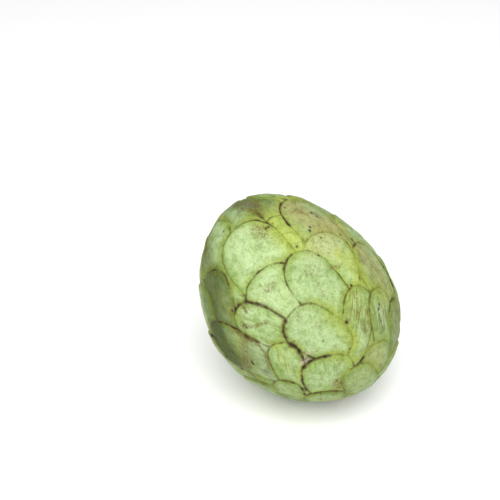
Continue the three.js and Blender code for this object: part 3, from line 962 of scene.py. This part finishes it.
@dataclass(frozen=True)
class SkinFinish:
    """Waxy fruit skin, grown: a satin surface that shows soft wide highlights.

    Over the broad paint it has a close mottle, fine lengthwise streaks, specks, veins and ragged stains.
    Sizes of patterns are in mm, and a bump is its strength and its depth in mm.
    """

    shade: str = "#98A35E"
    streak: str = "#687234"
    speck: str = "#6C5A34"
    stain: str = "#614A2C"
    grey: str = "#5A5A54"
    rim: str = "#5E6A28"
    rust: str = "#564C28"
    ink: str = "#29211A"
    mottle: float = 3
    grain: float = 0.9
    streak_width: float = 0.8
    streak_length: float = 8
    speck_spacing: float = 3.4
    vein_spacing: float = 11
    break_length: float = 3.5
    harshness: float = 0.6
    rim_width: float = 0.65
    roughness: Range = (0.4, 0.58)
    ior: float = 1.42
    sheen: float = 0.1
    fine_bump: Range = (0.4, 0.14)
    streak_bump: Range = (0.15, 0.1)
    values: tuple[str, ...] = (
        "crease_mm", "across_mm", "along_mm", "home", "ink", "ink_mm", "spot", "spot_mm", "stain", "grey",
        "streaky",
    )

    @property
    def steps(self) -> tuple[StepRow, ...]:
        """How the share of each fine layer comes from the patterns and the values kept on the mesh.

        A ramp's numbers are the range that counts and what it becomes.
        """
        return (
            # Mottle, streaks, veins, specks and ragged stains
            ("shaded", Step.SOFT_RAMP, "mottle", 0.42, 0.72, 0, 0.42),
            ("stippled", Step.RAMP, "grain", 0.45, 0.7, 0, 0.42),
            ("lined", Step.RAMP, "streaks", 0.46, 0.64, 0, "streaky"),
            ("on_vein", Step.CLOSE_TO, "vein", 0.5, 0.006),
            ("vein_share", Step.RAMP, "mottle", 0.45, 0.6, 0, 0.4),
            ("veined", Step.TIMES, "on_vein", "vein_share"),
            ("speck_size", Step.RAMP, "cell_shade", 0.45, 0.9, 0, 0.17),
            ("is_speck", Step.BELOW, "cell_reach", "speck_size"),
            ("specked", Step.TIMES, "is_speck", 0.65),
            ("ragged", Step.RAMP, "grain", 0.38, 0.6, 0.2, 1),
            ("stained", Step.TIMES, "stain", "ragged"),
            ("greyed", Step.TIMES, "grey", "ragged"),
            # The line in a crease: an olive rim, a rusty edge and a dark core that breaks up
            ("rim_share", Step.RAMP, "mottle", 0.35, 0.65, 0.1, 0.65),
            ("rimmed", Step.SOFT_RAMP, "crease_mm", 0, self.rim_width, "rim_share", 0),
            ("wander", Step.RAMP, "slow", 0.3, 0.7, 0.45, 1.4),
            ("core_width", Step.TIMES, "ink_mm", "wander"),
            ("edge_width", Step.TIMES, "core_width", 2),
            ("line_share", Step.TIMES, "ink", "wander"),
            ("edge_share", Step.RAMP, "line_share", 0, 1, 0, 1),
            ("core_share", Step.RAMP, "edge_share", 0.35, 1, 0, 1),
            ("edged", Step.SOFT_RAMP, "crease_mm", 0, "edge_width", "edge_share", 0),
            ("inked", Step.SOFT_RAMP, "crease_mm", 0, "core_width", "core_share", 0),
            # The spots, whose outline wanders with the grain
            ("wobble", Step.RAMP, "grain", 0.3, 0.7, -0.35, 0.35),
            ("gap", Step.PLUS, "spot_mm", "wobble"),
            ("ringed", Step.SOFT_RAMP, "gap", -0.4, 0.9, "spot", 0),
            ("spotted", Step.SOFT_RAMP, "gap", -0.2, 0.25, "spot", 0),
            ("rough", Step.RAMP, "mottle", 0.2, 0.8, *self.roughness),
        )

    @property
    def layers(self) -> tuple[tuple[str, str, str], ...]:
        """The fine layers from the lowest to the highest: how each blends, its share and its colour."""
        return (
            ("MULTIPLY", "shaded", self.shade), ("MULTIPLY", "stippled", self.shade),
            ("MIX", "lined", self.streak), ("MIX", "veined", self.rim), ("MIX", "specked", self.speck),
            ("MIX", "stained", self.stain), ("MIX", "greyed", self.grey), ("MIX", "rimmed", self.rim),
            ("MIX", "edged", self.rust), ("MIX", "inked", self.ink), ("MIX", "ringed", self.rust),
            ("MIX", "spotted", self.ink),
        )

    def build(self) -> bpy.types.Material:
        """Makes the material."""
        material, tree, shader = new_material("waxy_cherimoya_skin")
        place = place_in_mm(tree)
        made = {
            name: add_node(tree, "ShaderNodeAttribute", attribute_name=name).outputs["Fac"]
            for name in self.values
        }
        for name, size, detail in (
            ("mottle", self.mottle, 5), ("grain", self.grain, 3), ("vein", self.vein_spacing, 2),
            ("slow", self.break_length, 1),
        ):
            made[name] = add_node(tree, "ShaderNodeTexNoise", {
                "Vector": place, "Scale": 1 / size, "Detail": detail, "Roughness": self.harshness,
            }).outputs["Fac"]
        on_scale = add_node(tree, "ShaderNodeCombineXYZ", {
            "X": made["across_mm"], "Y": made["along_mm"], "Z": made["home"]}).outputs[0]
        stretch = (1 / self.streak_width, 1 / self.streak_length, 1)
        lengthwise = add_node(tree, "ShaderNodeVectorMath", {0: on_scale, 1: stretch},
                              operation="MULTIPLY").outputs[0]
        made["streaks"] = add_node(tree, "ShaderNodeTexNoise", {
            "Vector": lengthwise, "Scale": 1.0, "Detail": 3}).outputs["Fac"]
        cells = add_node(tree, "ShaderNodeTexVoronoi", {"Vector": place, "Scale": 1 / self.speck_spacing})
        made["cell_shade"], made["cell_reach"] = cells.outputs["Color"], cells.outputs["Distance"]
        add_steps(tree, made, self.steps)

        colour = add_node(tree, "ShaderNodeAttribute", attribute_name="paint").outputs["Color"]
        for blend, share, hue in self.layers:
            colour = add_node(tree, "ShaderNodeMix", {
                Mix.SHARE: made[share], Mix.FIRST: colour, Mix.SECOND: linear(hue)},
                data_type="RGBA", blend_type=blend).outputs[Mix.RESULT]
        tree.links.new(colour, shader.inputs["Base Color"])
        tree.links.new(made["rough"], shader.inputs["Roughness"])
        shader.inputs["IOR"].default_value = self.ior
        shader.inputs["Specular IOR Level"].default_value = self.sheen
        bump = {}
        for height, (strength, depth) in (("grain", self.fine_bump), ("streaks", self.streak_bump)):
            bump["Normal"] = add_node(tree, "ShaderNodeBump", {
                "Height": made[height], "Strength": strength, "Distance": depth * MM, **bump}).outputs[0]
        tree.links.new(bump["Normal"], shader.inputs["Normal"])
        return material


@dataclass(frozen=True)
class BarkFinish:
    """Dry brown bark with pale pores, grown, and wood cut across at the end.

    Sizes are in mm, and the bump is its strength and its depth in mm.
    """

    bark: str = "#6E5638"
    ridge: str = "#9A8159"
    pore: str = "#B9A27C"
    wood: str = "#B79A6A"
    ring: str = "#8C6E44"
    fibre: float = 0.5
    pores_per_mm: float = 0.7
    pore_edge: Range = (0.12, 0.2)
    roughness: float = 0.85
    bump: Range = (0.6, 0.2)

    def build(self) -> bpy.types.Material:
        """Makes the material."""
        material, tree, shader = new_material("dry_stem_bark")
        place = place_in_mm(tree)
        fibre = add_node(tree, "ShaderNodeTexNoise", {
            "Vector": place, "Scale": 1 / self.fibre, "Detail": 4}).outputs["Fac"]
        made = {"pores": add_node(tree, "ShaderNodeTexVoronoi", {
            "Vector": place, "Scale": self.pores_per_mm}).outputs["Distance"]}
        add_steps(tree, made, (("pore", Step.RAMP, "pores", *self.pore_edge, 1, 0),))
        colour, cut = (
            add_node(tree, "ShaderNodeMix", {
                Mix.SHARE: fibre, Mix.FIRST: linear(low), Mix.SECOND: linear(high)},
                data_type="RGBA").outputs[Mix.RESULT]
            for low, high in ((self.bark, self.ridge), (self.wood, self.ring))
        )
        is_cut = add_node(tree, "ShaderNodeAttribute", attribute_name="cut").outputs["Fac"]
        for share, over in ((made["pore"], linear(self.pore)), (is_cut, cut)):
            colour = add_node(tree, "ShaderNodeMix", {
                Mix.SHARE: share, Mix.FIRST: colour, Mix.SECOND: over},
                data_type="RGBA").outputs[Mix.RESULT]
        tree.links.new(colour, shader.inputs["Base Color"])
        shader.inputs["Roughness"].default_value = self.roughness
        strength, depth = self.bump
        bump = add_node(tree, "ShaderNodeBump", {
            "Height": fibre, "Strength": strength, "Distance": depth * MM}).outputs["Normal"]
        tree.links.new(bump, shader.inputs["Normal"])
        return material


def lay_ink(made: dict[str, Array], share: Array, width: Union[float, Array]) -> None:
    """Lays ink in the creases where there is more of it than before."""
    made["ink_mm"] = np.where(share > made["ink"], width, made["ink_mm"])
    made["ink"] = np.maximum(made["ink"], share)


def lay_spot(made: dict[str, Array], gap: Array, strength: float) -> None:
    """Lays a spot, whose edge is where the gap is 0, and which rules where it is the nearest."""
    made["spot"] = np.where(gap < made["spot_mm"], strength, made["spot"])
    made["spot_mm"] = np.minimum(made["spot_mm"], gap)


def keep_values(piece: bpy.types.Object, values: dict[str, Array]) -> None:
    """Keeps numbers, or colours where a row holds four, at the corners of a piece, by name."""
    for name, numbers in values.items():
        kind, field = ("FLOAT", "value") if numbers.ndim == 1 else ("FLOAT_COLOR", "color")
        attribute = piece.data.attributes.new(name, kind, "POINT")
        attribute.data.foreach_set(field, numbers.astype(np.float32).ravel())


def make_piece(name: str, points: Array, faces: Array, material: bpy.types.Material) -> bpy.types.Object:
    """Makes a smooth shaded mesh object.

    Args:
        name: The object's name.
        points: Its corners in mm.
        faces: Corner numbers of each face.
        material: Its finish.

    Returns:
        The object, linked into the scene.
    """
    mesh = bpy.data.meshes.new(name)
    mesh.from_pydata((points * MM).tolist(), [], [tuple(face) for face in faces])
    mesh.shade_smooth()
    mesh.materials.append(material)
    return add_object(name, mesh)


@dataclass(frozen=True)
class SeenMarks:
    """The marks of the front, laid on the skin through the photograph's camera. Sizes are in mm."""

    strokes: tuple[Stroke, ...] = STROKES
    least_facing: float = 0.02
    crease_hold: Range = (1.32, 3.52)
    ink_gain: float = 1.2
    plain_ink: float = 0.35
    far_from_spots: float = 5
    plateau: float = 1.5

    def lay(self, points: Array, facing: Array, pixels: Array) -> dict[str, Array]:
        """Lays the marks on the skin.

        Args:
            points: Points of the skin as it stands.
            facing: How far each looks at the photograph's camera, from -1 to 1.
            pixels: Where each is seen in the photograph.

        Returns:
            The values of the marks at each point, by name.
        """
        made = {mark.value: np.zeros(len(points)) for mark in Mark}
        made["ink_mm"] = np.full(len(points), self.plain_ink)
        made["spot_mm"] = np.full(len(points), self.far_from_spots, float)
        seen = np.flatnonzero(facing > self.least_facing)
        for stroke in self.strokes:
            nearest = [seen[np.argmin(((pixels[seen] - place) ** 2).sum(axis=1))] for place in stroke.path]
            distance = distance_to_path(points, points[nearest])
            if stroke.mark is Mark.CREASE:
                share = stroke.strength * fade(distance, *self.crease_hold)
                lay_ink(made, share, stroke.width * self.ink_gain)
            elif stroke.mark is Mark.SPOT:
                lay_spot(made, distance - stroke.width, stroke.strength)
            else:
                share = stroke.strength * np.minimum(1, self.plateau * bell(distance, stroke.width))
                made[stroke.mark.value] = np.maximum(made[stroke.mark.value], share)
        return made


@dataclass(frozen=True)
class HiddenMarks:
    """Marks of the same kinds where the photograph doesn't look, by a seeded draw. Sizes are in mm."""

    seed: int = 11
    spots: int = 46
    spot_size: Range = (0.15, 0.6)
    spot_strength: Range = (0.45, 0.9)
    stains: int = 34
    stain_half_length: Range = (0, 5)
    stain_strength: Range = (0.25, 0.65)
    stain_width: Range = (1, 2.6)
    ink_share: Range = (0.35, 0.95)
    ink_width: Range = (0.45, 1.15)
    break_length: float = 11
    break_edge: Range = (-0.5, 0.6)
    yellow_length: float = 26
    yellow_edge: Range = (-0.4, 1.2)
    yellow_share: float = 0.65
    deep_length: float = 24
    deep_edge: Range = (0, 1.4)
    deep_share: float = 0.3
    deep_cut: float = 0.5
    streaky_share: float = 0.45

    def add(self, points: Array, made: dict[str, Array], skin: Reading, hidden: Array) -> None:
        """Adds the marks.

        Args:
            points: Points of the skin as it stands.
            made: The values of the marks, which are changed.
            skin: The reading of the scales.
            hidden: 1 where the photograph sees nothing, 0 where it does, one number a point.
        """
        draw = np.random.RandomState(self.seed)
        away = np.flatnonzero(hidden > 0.5)
        for _ in range(self.spots):
            middle = points[draw.choice(away)]
            gap = np.linalg.norm(points - middle, axis=1) - draw.uniform(*self.spot_size)
            lay_spot(made, gap, draw.uniform(*self.spot_strength))
        for _ in range(self.stains):
            middle = points[draw.choice(away)]
            stretch = unit(draw.normal(size=3)) * draw.uniform(*self.stain_half_length)
            distance = distance_to_path(points, np.array([middle - stretch, middle + stretch]))
            share = draw.uniform(*self.stain_strength) * bell(distance, draw.uniform(*self.stain_width))
            made["stain"] = np.maximum(made["stain"], share * hidden)
        rims = np.array([variety(k, 5) for k in range(skin.arch.max() + 1)])[skin.arch]
        breaks = smoothstep(ripple(points, self.break_length, self.seed + 7), *self.break_edge)
        lay_ink(made, np.interp(rims, (0, 1), self.ink_share) * breaks * hidden,
                np.interp(rims * breaks, (0, 1), self.ink_width))
        yellow = smoothstep(ripple(points, self.yellow_length, self.seed + 8), *self.yellow_edge)
        made["yellow"] = np.maximum(made["yellow"], self.yellow_share * yellow * hidden)
        deep = smoothstep(ripple(points, self.deep_length, self.seed + 10), *self.deep_edge)
        # The painted shade from the front is halved on the hidden side
        kept = made["deep"] * (1 - self.deep_cut * hidden)
        made["deep"] = np.maximum(kept, self.deep_share * deep * hidden)
        streaky = np.array([self.streaky_share * variety(k, 7) for k in range(skin.home.max() + 1)])
        made["streaky"] = np.maximum(made["streaky"], streaky[skin.home] * hidden)


@dataclass
class Fruit:
    """The fruit: its fine skin over the body, and the values that its finish reads. Sizes are in mm."""

    body: FruitBody
    view: PhotoView
    paint: SkinPaint
    finish: SkinFinish
    seen: SeenMarks
    guessed: HiddenMarks
    flat_spot_depth: float = 1.8
    flat_spot_spread: float = 17
    flat_spot_calm: float = 0.7
    cavity_depth: float = 7
    cavity_radius: float = 10.5
    cavity_calm_radius: float = 13
    cavity_cork: Range = (5, 8.5)
    underside: float = -0.5
    blossom_pit_depth: float = 1
    blossom_pit_radius: float = 3
    blossom_cork: Range = (1, 3.2)
    blossom_cork_share: float = 0.7
    grooves: tuple[Range, ...] = ((4, 0.25), (1.4, 0.25), (0.45, 0.3))
    lip_height: float = 0.18
    lip_width: float = 0.8
    lip_place: float = 1.6
    lip_start: float = 12
    waves: tuple[Range, ...] = ((17, 0.22), (7, 0.1), (3, 0.035))
    least_ink: Range = (0.06, 0.14)
    least_ink_length: float = 9
    hidden_facing: Range = (0.0, 0.2)
    home_step: float = 7.3
    seed: int = 11

    def form(self) -> tuple[Array, Array, Reading, Array]:
        """Raises the skin in the fruit's own frame.

        Returns:
            Its points, its triangles, the reading of the scales and the share of cork at each point.
        """
        coat = ScaleCoat(self.body)
        scales = coat.scales()
        ways, triangles = BallMesh(coat).led(scales)
        smooth = self.body.points(ways)
        skin = coat.read(smooth, scales)
        stem_reach = np.hypot(smooth[:, 0] - self.body.stem_foot[0], smooth[:, 1] - self.body.stem_foot[1])
        below = ways[:, 2] < self.underside
        cavity_calm = np.where(below, bell(stem_reach, self.cavity_calm_radius, 4), 0)
        down = np.array([0, 0, -1]) @ self.body.stand
        rest_angle = np.degrees(np.arccos(np.clip(ways @ down, -1, 1)))
        calm = (1 - cavity_calm) * (1 - self.flat_spot_calm * bell(rest_angle, self.flat_spot_spread))
        tipward = np.clip(skin.along / self.lip_start, 0, 1)
        lip = self.lip_height * tipward * bell(skin.crease - self.lip_place, self.lip_width)
        groove = sum(depth * bell(skin.crease, width) for width, depth in self.grooves)
        waves = layered_ripple(smooth, self.waves, self.seed)
        pit_reach = np.linalg.norm(smooth - self.body.points(self.body.blossom), axis=1)
        pit = self.blossom_pit_depth * bell(pit_reach, self.blossom_pit_radius)
        height = (skin.height - groove + lip + waves) * calm - pit
        points = smooth + ways * height[:, None]
        points[:, 2] += np.where(below, self.cavity_depth * bell(stem_reach, self.cavity_radius, 4), 0)
        cork = np.maximum(np.where(below, fade(stem_reach, *self.cavity_cork), 0),
                          self.blossom_cork_share * fade(pit_reach, *self.blossom_cork))
        return points, triangles, skin, cork

    def stand_up(self, points: Array) -> tuple[Array, Array]:
        """Stands the fruit in the box of its solid, on its flat spot.

        Args:
            points: Points of the skin in the fruit's own frame.

        Returns:
            The points as they stand, and the middle of the body there.
        """
        stood = points @ self.body.stand.T
        low, high = stood.min(axis=0), stood.max(axis=0)
        low[2] += self.flat_spot_depth
        floor, ceiling = (np.array(corner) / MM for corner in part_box(Node.FRUIT.value))
        scale = (ceiling - floor) / (high - low)
        placed = floor + (stood - low) * scale
        placed[:, 2] = np.maximum(placed[:, 2], floor[2])
        return placed, floor - low * scale

    def build(self) -> Array:
        """Builds and dresses the fruit.

        Returns:
            The middle of its body as it stands, in mm.
        """
        points, triangles, skin, cork = self.form()
        points, centre = self.stand_up(points)
        piece = make_piece("skin", points, triangles, self.finish.build())
        normals = np.zeros(len(points) * 3, np.float32)
        piece.data.vertex_normals.foreach_get("vector", normals)
        facing = (unit(self.view.place(centre) - points) * normals.reshape(-1, 3)).sum(axis=1)
        values = self.seen.lay(points, facing, self.view.pixels(points, centre))
        self.guessed.add(points, values, skin, 1 - smoothstep(facing, *self.hidden_facing))
        drift = smoothstep(ripple(points, self.least_ink_length, self.seed + 9), -1, 1)
        values["ink"] = np.maximum(values["ink"], np.interp(drift, (0, 1), self.least_ink))
        values[Mark.CORK.value] = cork
        colours = self.paint.colours(points, skin, values)
        values.update(crease_mm=skin.crease, across_mm=skin.across, along_mm=skin.along,
                      home=skin.home * self.home_step)
        keep_values(piece, {"paint": colours, **{name: values[name] for name in self.finish.values}})
        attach(piece, "root")
        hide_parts(Node.FRUIT.value)
        log.info("skin: %d triangles, %d bare points", len(triangles), (skin.owner < 0).sum())
        return centre


@dataclass
class StemStub:
    """The woody stump that stays in the stem cavity after picking."""

    body: FruitBody
    finish: BarkFinish
    length: float = 8
    radius: float = 3.9
    sunk: float = 0.6
    rings: int = 44
    sides: int = 96
    outline: tuple[Range, ...] = (
        (0, 1), (0.15, 0.97), (0.45, 0.84), (0.75, 0.86), (0.93, 0.98), (1, 0.94),
    )
    ridge_depth: float = 0.22
    coarse_ridges: int = 9
    fine_ridges: int = 17
    end_rings: tuple[Range, ...] = ((0.85, 0.12), (0.6, 0.3), (0.3, 0.26))
    end_sink: float = 0.3

    def build(self) -> None:
        """Builds and dresses the stump."""
        low, high = (np.array(corner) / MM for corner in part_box(Node.STUB.value))
        middle = (low + high) / 2
        axis = self.body.stand @ np.array([0, 0, -1.0])
        first = unit(np.cross(axis, [0, 1.0, 0]))
        second = np.cross(axis, first)
        shares, widths = zip(*self.outline)
        heights = np.linspace(-self.sunk / self.length, 1, self.rings)
        turns = np.linspace(0, 2 * math.pi, self.sides, endpoint=False)
        along, around = np.meshgrid(heights, turns, indexing="ij")
        coarse = np.sin(around * self.coarse_ridges + 2 * np.sin(along * 3))
        ridges = (coarse + np.sin(around * self.fine_ridges + along * 5)) / 2
        radii = self.radius * np.interp(along, shares, widths) - self.ridge_depth * (0.5 + 0.5 * ridges)
        side = first * np.cos(around)[..., None] + second * np.sin(around)[..., None]
        wall = middle + axis * ((along[..., None] - 0.5) * self.length) + side * radii[..., None]
        end = middle + axis * self.length / 2
        inner = [end + (wall[-1] - end) * share - axis * sink for share, sink in self.end_rings]
        foot = middle - axis * (self.length / 2 + self.sunk)
        points = np.vstack([wall.reshape(-1, 3), *inner, end - axis * self.end_sink, foot])
        tip = len(points) - 2
        step = self.sides
        faces = []
        for k, after in ((k, (k + 1) % step) for k in range(step)):
            faces += [(ring + k, ring + after, ring + step + after, ring + step + k)
                      for ring in range(0, tip - step, step)]
            faces += [(tip - step + k, tip - step + after, tip), (after, k, tip + 1)]
        piece = make_piece("stump", points, faces, self.finish.build())
        keep_values(piece, {"cut": np.repeat([0.0, 1, 0], [self.rings * step, len(inner) * step + 1, 1])})
        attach(piece, "root")
        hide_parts(Node.STUB.value)
        log.info("stump: %d faces", len(faces))


@dataclass(frozen=True)
class Studio:
    """A pale floor and plain soft light."""

    floor: str = "#F9F9F9"
    floor_size: float = 6
    floor_roughness: float = 0.9
    sky: float = 0.5
    key_power: float = 20
    key_size: float = 1.3
    key_place: tuple[float, float, float] = (0.0, -0.62, 1.0)

    def build(self) -> None:
        """Makes the floor, the light and the sky."""
        half = self.floor_size / 2
        mesh = bpy.data.meshes.new("floor")
        mesh.from_pydata([(-half, -half, 0), (half, -half, 0), (half, half, 0), (-half, half, 0)], [],
                         [(0, 1, 2, 3)])
        material, _, shader = new_material("matte_paper_sweep")
        shader.inputs["Base Color"].default_value = linear(self.floor)
        shader.inputs["Roughness"].default_value = self.floor_roughness
        mesh.materials.append(material)
        floor = add_object("floor", mesh)
        data = bpy.data.lights.new("key", "AREA")
        data.shape, data.size, data.energy = "DISK", self.key_size, self.key_power
        key = add_object("key", data)
        key.location = Vector(self.key_place)
        key.rotation_euler = (-key.location).to_track_quat("-Z", "Y").to_euler()
        world = bpy.data.worlds.new("light_tent")
        world.use_nodes = True
        sky = world.node_tree.nodes["Background"]
        sky.inputs["Color"].default_value = (1, 1, 1, 1)
        sky.inputs["Strength"].default_value = self.sky
        bpy.context.scene.world = world
        bpy.context.scene.view_settings.view_transform = "Standard"


def main() -> None:
    """Builds the fruit and its stump, then the studio round them."""
    body = FruitBody()
    view = PhotoView()
    centre = Fruit(body, view, SkinPaint(), SkinFinish(), SeenMarks(), HiddenMarks()).build()
    StemStub(body, BarkFinish()).build()
    Studio().build()
    view.shoot(centre)


if __name__ == "__main__":
    logging.basicConfig(level=logging.INFO, format="%(message)s")
    main()
